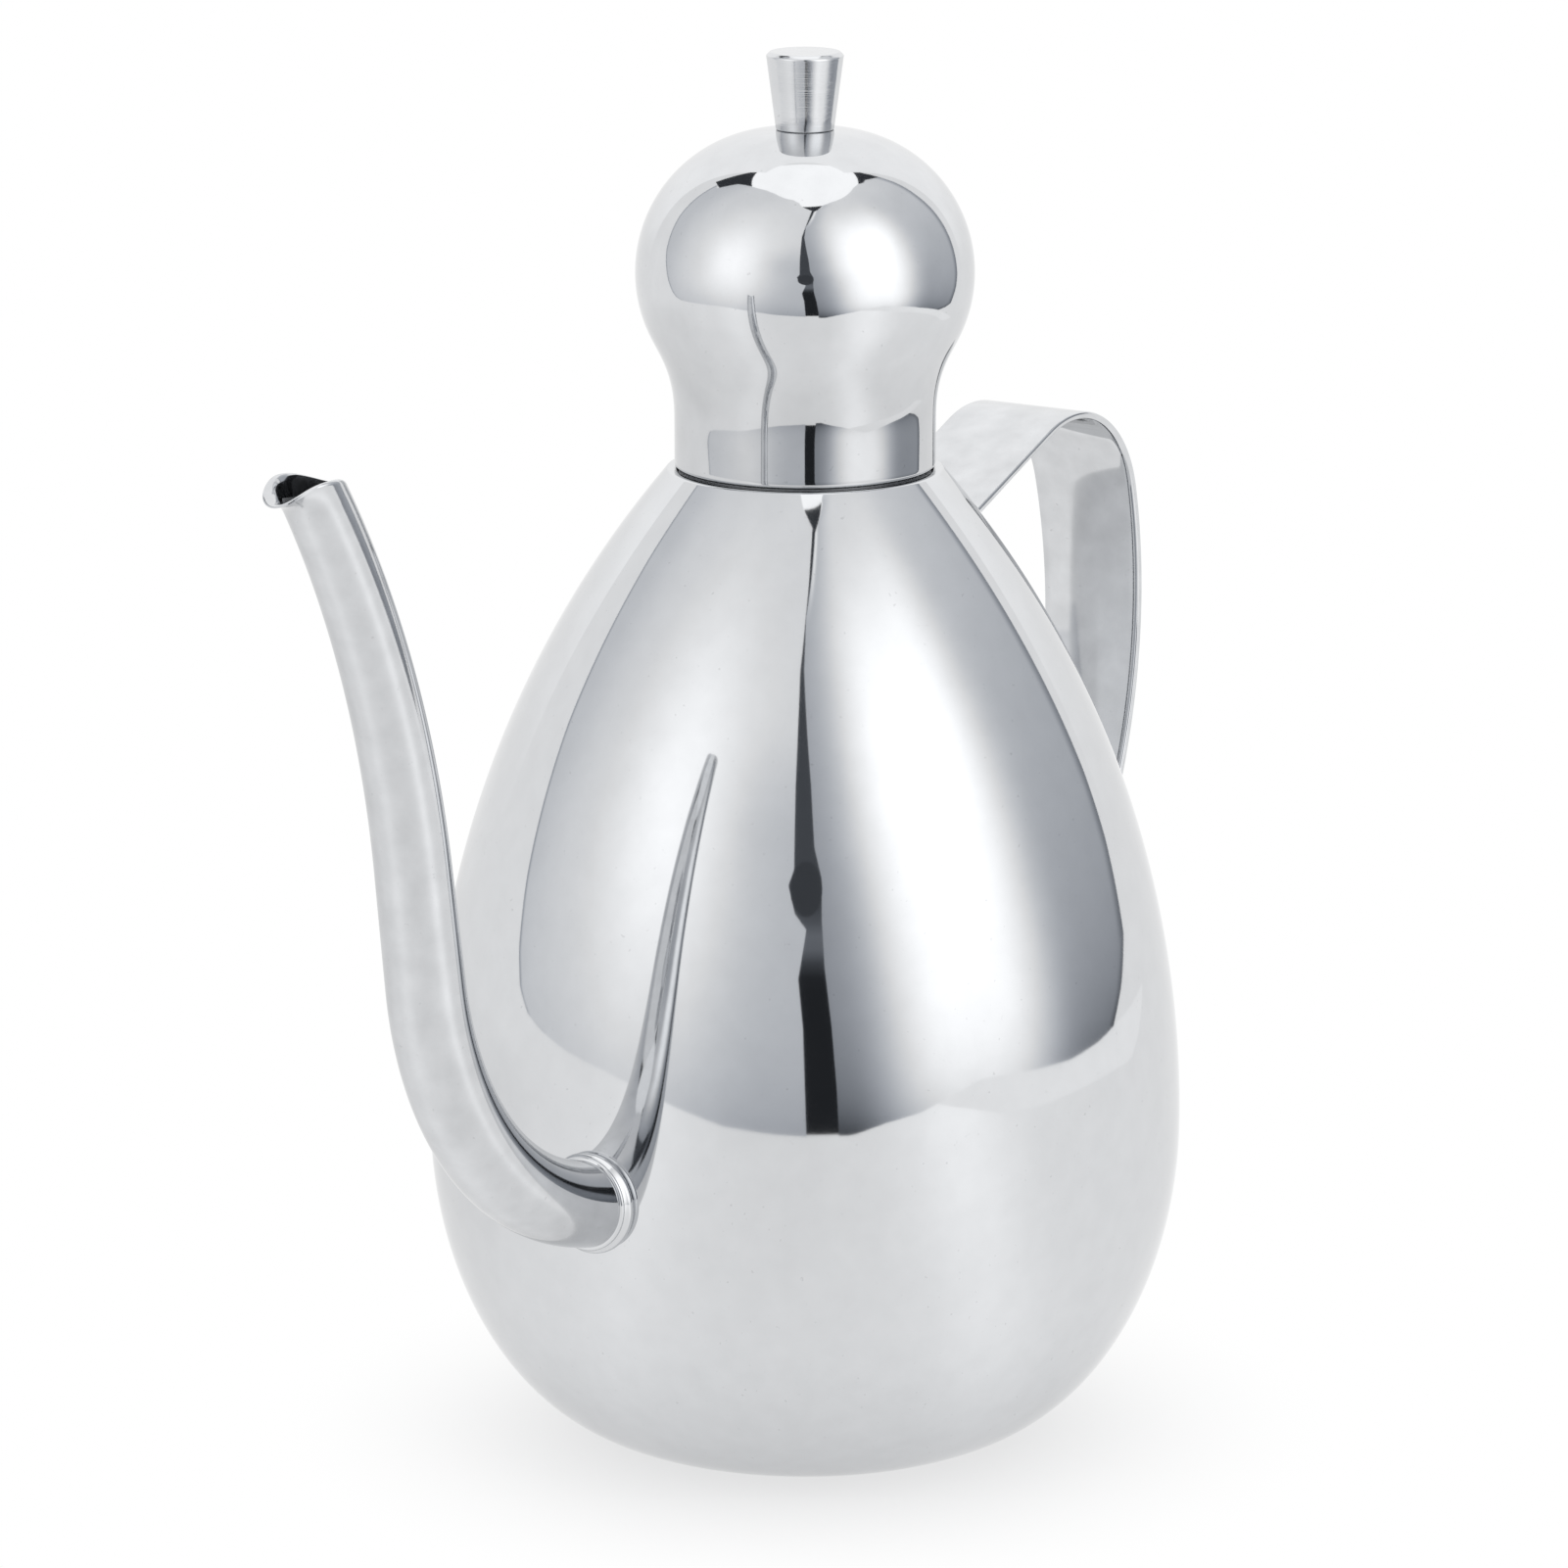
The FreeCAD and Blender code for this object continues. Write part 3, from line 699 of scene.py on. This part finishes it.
sleeve_wall, sleeve_corner = 0.7, 0.18
plug_gap, plug_depth, land_height = 0.35, 8.0, 5.5
plug_radius, land_radius = collar_bore - plug_gap, skirt_radius - sheet
land_top, plug_foot = lid_foot + land_height, lid_foot - plug_depth
sleeve = joined(
    "sleeve",
    turned(
        rounded(
            [
                (plug_radius - sleeve_wall, plug_foot),
                (plug_radius, plug_foot),
                (plug_radius, lid_foot),
                (land_radius, lid_foot),
                (land_radius, land_top),
                (land_radius - sleeve_wall, land_top),
                (land_radius - sleeve_wall, lid_foot + sleeve_wall),
                (plug_radius - sleeve_wall, lid_foot + sleeve_wall),
            ],
            sleeve_corner,
        )
    ),
    [inside_satin],
)
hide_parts("lid_sleeve")
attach(sleeve, "lid")


# Knob: a small cone turned from steel bar, with a bevelled rim and a threaded hole from below. The
# lathe's fine rings were only lightly polished, so they draw reflections out along the cone.

knob_foot, knob_head, knob_height = 3.9, 5.2, 10.4
knob_bevel, knob_corner, knob_columns = 0.5, 0.16, 128
thread_radius, thread_depth = 1.55, 7.0
knob_tint = (0.66, 0.67, 0.685)
knob_top = lid_top + knob_height
knob_profile = rounded(
    [
        (0, lid_top + thread_depth),
        (thread_radius, lid_top + thread_depth),
        (thread_radius, lid_top),
        (knob_foot, lid_top),
        (knob_head, knob_top - knob_bevel),
        (knob_head - knob_bevel, knob_top),
        (0, knob_top),
    ],
    knob_corner,
    closed=False,
)
lathe_rings = steel(
    "fine turned steel", knob_tint, rough=0.09, stretch=(12, 12, 7000), streak=0.012, smudge=0.03,
    mottle=0.1,
)
knob = joined("knob", turned(knob_profile, knob_columns), [lathe_rings], loop=False)
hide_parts("lid_knob")
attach(knob, "lid")


# Knob washer and screw: plain steel hardware inside the lid. The washer spreads the load under the thin
# dome and the screw runs up through it into the knob and pulls that down.

hardware = steel(
    "plain hardware steel", satin_tint, rough=0.22, stretch=(900, 900, 900), streak=0.002,
    smudge=0.06,
)
for name in ("knob_washer", "knob_screw"):
    nodes[name].data.materials.clear()
    nodes[name].data.materials.append(hardware)


# Studio floor: a white board that runs to the horizon. Near the pot it is plain board that takes the
# shadow; further out it fades to plain white for the camera, and in the steel it shows the light that
# the screens throw on it.

camera_azimuth = 33.0
floor_start, floor_size, floor_columns, floor_rows = 0.002, 5.0, 181, 90
plain_radius, faded_radius, plain_share = 0.03, 0.075, 0.62
board_white, pure_white = (0.9, 0.9, 0.9, 1), (1, 1, 1, 1)


def soft_step(value, low, high):
    """0 below low, 1 above high, and a smooth cubic between."""
    share = np.clip((value - low) / (high - low), 0, 1)
    return share * share * (3 - 2 * share)


def bell(value, middle, width):
    """1 at the middle and falling off alike to both sides: e to the minus square of the widths away."""
    return np.exp(-(((value - middle) / width) ** 2))


def upright(azimuth, away, height):
    """Points round the pot, from the azimuth counted from the camera, the distance and the height."""
    turn = np.radians(camera_azimuth + azimuth)
    return np.stack(np.broadcast_arrays(away * np.cos(turn), away * np.sin(turn), height), -1)


def floor_light(azimuth, away):
    """How much brighter than white the floor is: a little dim before the camera and far round to its
    left, brighter before each screen's hot spot, and even near the pot and far out."""
    camera_dim, left_dim, right_throw, left_throw, pot_reach = 0.06, 0.09, 0.25, 0.12, 0.12
    dim = camera_dim * bell(azimuth, middle=-5, width=25)
    nearby = 1 - soft_step(away, low=0.25, high=0.7)
    dim = dim + left_dim * soft_step(-azimuth, low=70, high=105) * nearby
    right = right_throw * bell(azimuth, middle=45, width=16)
    left = left_throw * bell(azimuth, middle=-46, width=13)
    near, far = np.exp(-away / pot_reach), soft_step(away, low=0.6, high=1.5)
    return (right + left - dim) * (1 - near) * (1 - far)


def marked(piece, name, values):
    """The piece with a number of that name stored at each of its points."""
    mark = piece.data.attributes.new(name, "FLOAT", "POINT")
    mark.data.foreach_set("value", np.asarray(values, np.float32).ravel())
    return piece


def patch(name, grid, material):
    """A sheet through a grid of points in metres, as a piece of the studio."""
    rows, columns = grid.shape[:2]
    i, j = np.meshgrid(np.arange(rows - 1), np.arange(columns - 1), indexing="ij")
    first = i * columns + j
    quads = np.stack([first, first + 1, first + columns + 1, first + columns], -1).reshape(-1, 4)
    mesh = bpy.data.meshes.new(name)
    mesh.from_pydata(grid.reshape(-1, 3).tolist(), [], quads.tolist())
    mesh.materials.append(material)
    mesh.polygons.foreach_set("use_smooth", np.ones(len(mesh.polygons), bool))
    piece = bpy.data.objects.new(name, mesh)
    bpy.context.scene.collection.objects.link(piece)
    return piece


board = bpy.data.materials.new("white board")
board.use_nodes = True
tree = board.node_tree
tree.nodes.clear()
rays = add(tree, "ShaderNodeLightPath").outputs
seen = add(tree, "ShaderNodeMath", {0: rays["Is Camera Ray"], 1: rays["Is Glossy Ray"]}, operation="ADD")
seen = add(
    tree,
    "ShaderNodeMath",
    {0: seen.outputs["Value"], 1: rays["Is Transmission Ray"]},
    operation="ADD",
    use_clamp=True,
)
spot = add(tree, "ShaderNodeTexCoord").outputs["Object"]
away = add(tree, "ShaderNodeVectorMath", {0: spot}, operation="LENGTH")
fade = add(
    tree, "ShaderNodeMapRange", {"Value": away.outputs["Value"]}, interpolation_type="SMOOTHSTEP",
    From_Min=plain_radius, From_Max=faded_radius, To_Min=plain_share, To_Max=1.0,
)
shares = {0: seen.outputs["Value"], 1: fade.outputs["Result"]}
amount = add(tree, "ShaderNodeMath", shares, operation="MULTIPLY")
paint = add(tree, "ShaderNodeBsdfDiffuse", Color=board_white)
thrown = add(tree, "ShaderNodeAttribute", attribute_name="thrown")
mirrored = {0: thrown.outputs["Fac"], 1: rays["Is Glossy Ray"]}
power = add(tree, "ShaderNodeMath", mirrored, operation="MULTIPLY_ADD")
power.inputs[2].default_value = 1.0
glow = add(tree, "ShaderNodeEmission", {"Strength": power.outputs["Value"]}, Color=pure_white)
layers = {0: amount.outputs["Value"], 1: paint.outputs[0], 2: glow.outputs[0]}
mixed = add(tree, "ShaderNodeMixShader", layers)
add(tree, "ShaderNodeOutputMaterial", {"Surface": mixed.outputs[0]})
floor_azimuth = np.linspace(180, -180, floor_columns)[None]
floor_away = np.geomspace(floor_start, floor_size, floor_rows)[:, None]
floor = patch("floor", upright(floor_azimuth, floor_away, 0.0), board)
marked(floor, "thrown", floor_light(floor_azimuth, floor_away))


# Light tent: two tall soft screens either side of the camera, each brightest near its middle, with a
# dark gap between them where the camera looks in. Overhead is a round white sheet in the dark, behind
# the pot a white sheet hangs from it, and the room beyond is white.

eye_level = 0.1
dim_cloth = (0.90, 0.98, 1.12, 1)


def lit(name, grid, level):
    """A sheet that only gives light, each point as bright as its level, and that no camera sees.
    The cloth is a little blue where it is dim and white where it is bright."""
    material = bpy.data.materials.get("lit cloth")
    if material is None:
        material = bpy.data.materials.new("lit cloth")
        material.use_nodes = True
        cloth = material.node_tree
        cloth.nodes.clear()
        value = add(cloth, "ShaderNodeAttribute", attribute_name="glow")
        tone = add(cloth, "ShaderNodeMix", {"Factor": value.outputs["Fac"]}, data_type="RGBA")
        tone.inputs["A"].default_value = dim_cloth
        tone.inputs["B"].default_value = pure_white
        shine = {"Strength": value.outputs["Fac"], "Color": tone.outputs["Result"]}
        light = add(cloth, "ShaderNodeEmission", shine)
        add(cloth, "ShaderNodeOutputMaterial", {"Surface": light.outputs[0]})
    piece = marked(patch(name, grid, material), "glow", np.broadcast_to(level, grid.shape[:2]))
    piece.visible_camera = False
    return piece


def screen(name, inner, outer, reach, foot, head, brightness):
    """A tall curved screen. Its azimuth goes from the inner edge to the outer one, and its elevation is
    the one seen from the pot. Its distance, the height of its foot and the elevation of its head follow
    its azimuth, and brightness gives its glow from both angles and the ways in from its two edges."""
    lowest, highest = -16, 76
    rise = np.linspace(lowest, highest, num=185)[:, None]
    share = np.linspace(0, 1, num=200)[None]
    first, last = np.interp(rise, *inner), np.interp(rise, *outer)
    azimuth = first * (1 - share) + last * share
    away = np.interp(azimuth, *reach)
    height = eye_level + away * np.tan(np.radians(np.minimum(rise, np.interp(azimuth, *head))))
    height = np.maximum(height, np.interp(azimuth, *foot))
    seen = np.degrees(np.arctan2(height - eye_level, away))
    level = brightness(azimuth, seen, np.abs(azimuth - first), np.abs(last - azimuth))
    return lit(name, upright(azimuth, away, height), level)


def right_glow(azimuth, rise, from_gap, from_edge):
    """A grey cloth, lighter upwards, with one broad hot spot, dimmer beside the gap and the edge, and
    with a bright hem high up by the gap."""
    plain, lighter, foot_dim, foot_level, foot_fade = 0.5, 0.0062, 0.12, -8, 5
    spot_azimuth, spot_lean, spot_width, spot_widening = 51, 0.125, 26.5, 2
    spot_level, spot_height, side_power, height_power, spot_power = 16, 36, 3.2, 3.8, 1.05
    gap_dim, edge_dim, hem_power = 0.28, 0.5, 0.45
    cloth = plain + lighter * rise - foot_dim * np.exp(-(rise - foot_level) / foot_fade)
    middle = spot_azimuth - spot_lean * np.maximum(rise, 0)
    width = spot_width + spot_widening * soft_step(rise, low=4, high=28)
    aside, above = np.abs((azimuth - middle) / width), np.abs((rise - spot_level) / spot_height)
    spot = np.exp(-(aside**side_power) - above**height_power)
    by_gap = 1 - gap_dim * (1 - soft_step(from_gap, low=-3, high=20))
    by_edge = 1 - edge_dim * (1 - soft_step(from_edge, low=0, high=5))
    hem = hem_power * bell(from_gap, middle=1.5, width=1.3) * soft_step(rise, low=50, high=60)
    return (cloth + spot_power * spot) * (by_gap * by_edge) + hem


def left_glow(azimuth, rise, from_gap, from_edge):
    """A paler cloth with one smaller, softer hot spot, dimmer low beside the gap and at its far edge."""
    gap_level, gap_lighter, far_level, far_dim = 0.70, 0.25, 0.88, 0.14
    foot_dim, foot_level, foot_fade, edge_dim = 0.11, -8, 8, 0.45
    spot_azimuth, spot_width, spot_level, spot_height, spot_power = -48, 25, 22, 26, 0.56
    beside_gap = gap_level + gap_lighter * soft_step(rise, low=22, high=42)
    far = far_level - far_dim * soft_step(-azimuth, low=86, high=112)
    foot = foot_dim * np.exp(-(rise - foot_level) / foot_fade)
    cloth = beside_gap + (far - beside_gap) * soft_step(-azimuth, low=10, high=60) - foot
    aside, above = (azimuth - spot_azimuth) / spot_width, (rise - spot_level) / spot_height
    spot = np.exp(-(aside**2) - above**2)
    return (cloth + spot_power * spot) * (1 - edge_dim * (1 - soft_step(from_edge, low=0.2, high=1.6)))


right_reach = (
    (0, 14, 35, 55, 75, 97, 113, 125),
    (0.34, 0.335, 0.40, 0.45, 0.44, 0.41, 0.37, 0.35),
)
right_foot = (
    (12, 22, 33, 42, 52, 61, 72, 84, 97, 105),
    (0.021, 0.025, 0.027, 0.034, 0.04, 0.036, 0.03, 0.025, 0.024, 0.026),
)
screen(
    "right_screen",
    inner=(
        (-16, -8, 0, 7, 13, 18, 22, 30, 37, 45, 52, 60, 64, 66),
        (9.5, 8.8, 7.5, 5.8, 5.2, 5.5, 3.3, 2.4, 0.9, -0.6, 0.6, 7.6, 11.5, 20),
    ),
    outer=((-16, -10.5, -8.8, -6.5, 0, 5, 40, 60), (98, 105, 111.5, 117.4, 121, 122, 121, 124)),
    reach=right_reach,
    foot=right_foot,
    head=(
        (0, 6, 12, 18, 24, 36, 90, 102, 108, 114, 120, 126),
        (60, 62, 63.3, 65, 67, 68, 68, 66.5, 64, 63, 59, 55),
    ),
    brightness=right_glow,
)

hem_foot = (
    (38, 48, 57, 70, 112, 118, 124),
    (0.03, 0.018, 0.006, 0.001, 0.001, 0.01, 0.025),
)
hem_level = 1.08
hem_azimuth = np.linspace(hem_foot[0][0], hem_foot[0][-1], num=60)[None]
hem_low, hem_high = np.interp(hem_azimuth, *hem_foot), np.interp(hem_azimuth, *right_foot)
hem_share = np.linspace(0, 1, num=4)[:, None]
hem_height = hem_low * (1 - hem_share) + hem_high * hem_share
hem_away = np.interp(hem_azimuth, *right_reach)
lit("right_hem", upright(hem_azimuth, hem_away, hem_height), hem_level)

screen(
    "left_screen",
    inner=(
        (-16, 0, 6, 12, 14, 17.5, 19.5, 30, 37, 45, 52, 60, 66),
        (0.6, -0.6, -2, 0.4, -3.2, -5.4, -3.6, -3.6, -3.2, -2.6, 0.3, 5, 10),
    ),
    outer=(
        (-16, -7, -6.5, -5.1, -2.4, 3, 15, 30, 66),
        (-76, -84, -91, -96, -99.5, -103.5, -110, -115, -121),
    ),
    reach=((-120, -95, -75, -53, -20, 5), (0.47, 0.46, 0.45, 0.43, 0.38, 0.355)),
    foot=(
        (-90, -75, -60, -50, -37, -23, -8, 5),
        (0.046, 0.041, 0.04, 0.036, 0.028, 0.02, 0.018, 0.018),
    ),
    head=(
        (-114, -109, -104, -97, -90, -78, -60, -20, -9, -4, 3, 9),
        (50, 60, 63, 66, 68, 71, 72.5, 72, 70, 67, 65.2, 63.5),
    ),
    brightness=left_glow,
)

gap_away, gap_left, gap_right, gap_foot, gap_head = 0.37, -7, 12, 0.018, 0.9
gap_low, gap_high, gap_streak, gap_top_dim = 0.022, 0.08, 0.13, 0.5
gap_azimuth = np.linspace(gap_left, gap_right, num=12)[None]
gap_height = np.linspace(gap_foot, gap_head, num=80)[:, None]
gap_rise = np.degrees(np.arctan2(gap_height - eye_level, gap_away))
gap_top = 1 - gap_top_dim * soft_step(gap_rise, low=52, high=62)
gap_glow = gap_low + (gap_high - gap_low) * soft_step(gap_rise, low=6, high=14) * gap_top
gap_glow = gap_glow + gap_streak * bell(gap_rise, middle=10.5, width=2.2)
lit("camera_gap", upright(gap_azimuth, gap_away, gap_height), gap_glow)

lens_away, lens_side, lens_middle, lens_level = 0.33, 0.4, 0.199, 0.06
lens_width, lens_radius = 5.2, 0.022
lens_turn = np.linspace(0, 2 * np.pi, num=33)[:, None]
lens_out = np.linspace(0, 1, num=5)[None]
lens_azimuth = lens_side + lens_width * lens_out * np.cos(lens_turn)
lens_height = lens_middle + lens_radius * lens_out * np.sin(lens_turn)
lit("camera_lens", upright(lens_azimuth, lens_away, lens_height), lens_level)

sheet_height = 2.2
back_away, back_left, back_right, back_foot, back_brighter = 0.8, 130, 230, 0.05, 0.16
back_azimuth = np.linspace(back_left, back_right, num=30)[None]
back_height = np.linspace(back_foot, sheet_height, num=40)[:, None]
back_rise = np.degrees(np.arctan2(back_height - eye_level, back_away))
back_glow = 1.0 + back_brighter * soft_step(back_rise, low=-2, high=25)
lit("back_sheet", upright(back_azimuth, back_away, back_height), back_glow)


def overhead(forward, aside, height):
    """Points overhead, from the distances towards the camera and to its right."""
    turn = math.radians(camera_azimuth)
    x = forward * math.cos(turn) - aside * math.sin(turn)
    y = forward * math.sin(turn) + aside * math.cos(turn)
    return np.stack(np.broadcast_arrays(x, y, height), -1)


sheet_radius, sheet_ahead, sheet_back, sheet_level = 0.96, -0.045, -0.72, 1.35
sheet_turn = np.linspace(0, 2 * np.pi, num=65)[:, None]
sheet_out = np.linspace(0, sheet_radius, num=9)[None]
sheet_forward = np.maximum(sheet_ahead + sheet_out * np.cos(sheet_turn), sheet_back)
sheet_aside = sheet_out * np.sin(sheet_turn)
lit("overhead_sheet", overhead(sheet_forward, sheet_aside, sheet_height), sheet_level)

dark_half, dark_edge, dark_curve, dark_front = 1.7, -0.58, 0.21, 1.6
dark_lift, dark_level = 0.02, 0.045
dark_aside = np.linspace(-dark_half, dark_half, num=41)[None]
dark_back = dark_edge - dark_curve * dark_aside**2
dark_share = np.linspace(0, 1, num=9)[:, None]
dark_forward = dark_back * (1 - dark_share) + dark_front * dark_share
lit("dark_overhead", overhead(dark_forward, dark_aside, sheet_height + dark_lift), dark_level)

world = bpy.data.worlds.new("white room")
bpy.context.scene.world = world
world.use_nodes = True
room_light = world.node_tree.nodes["Background"].inputs
room_light["Color"].default_value = pure_white
room_light["Strength"].default_value = 1.0


# Camera: a long lens about a metre away, a little above the pot and beside the spout, looking slightly
# down. Its place, lens and shift are the ones that lay the pot over the photo.

camera_data = bpy.data.cameras.new("camera")
camera = bpy.data.objects.new("camera", camera_data)
bpy.context.scene.collection.objects.link(camera)
camera.location = (0.8158, 0.5298, 0.3226)
aim = Vector((0, 0, 0.09069))
camera.rotation_euler = (aim - camera.location).to_track_quat("-Z", "Y").to_euler()
camera_data.sensor_width = 36.0
camera_data.lens = 168.64
camera_data.shift_x = -0.0134
camera_data.clip_end = 20.0
bpy.context.scene.camera = camera
bpy.context.scene.view_settings.view_transform = "Standard"
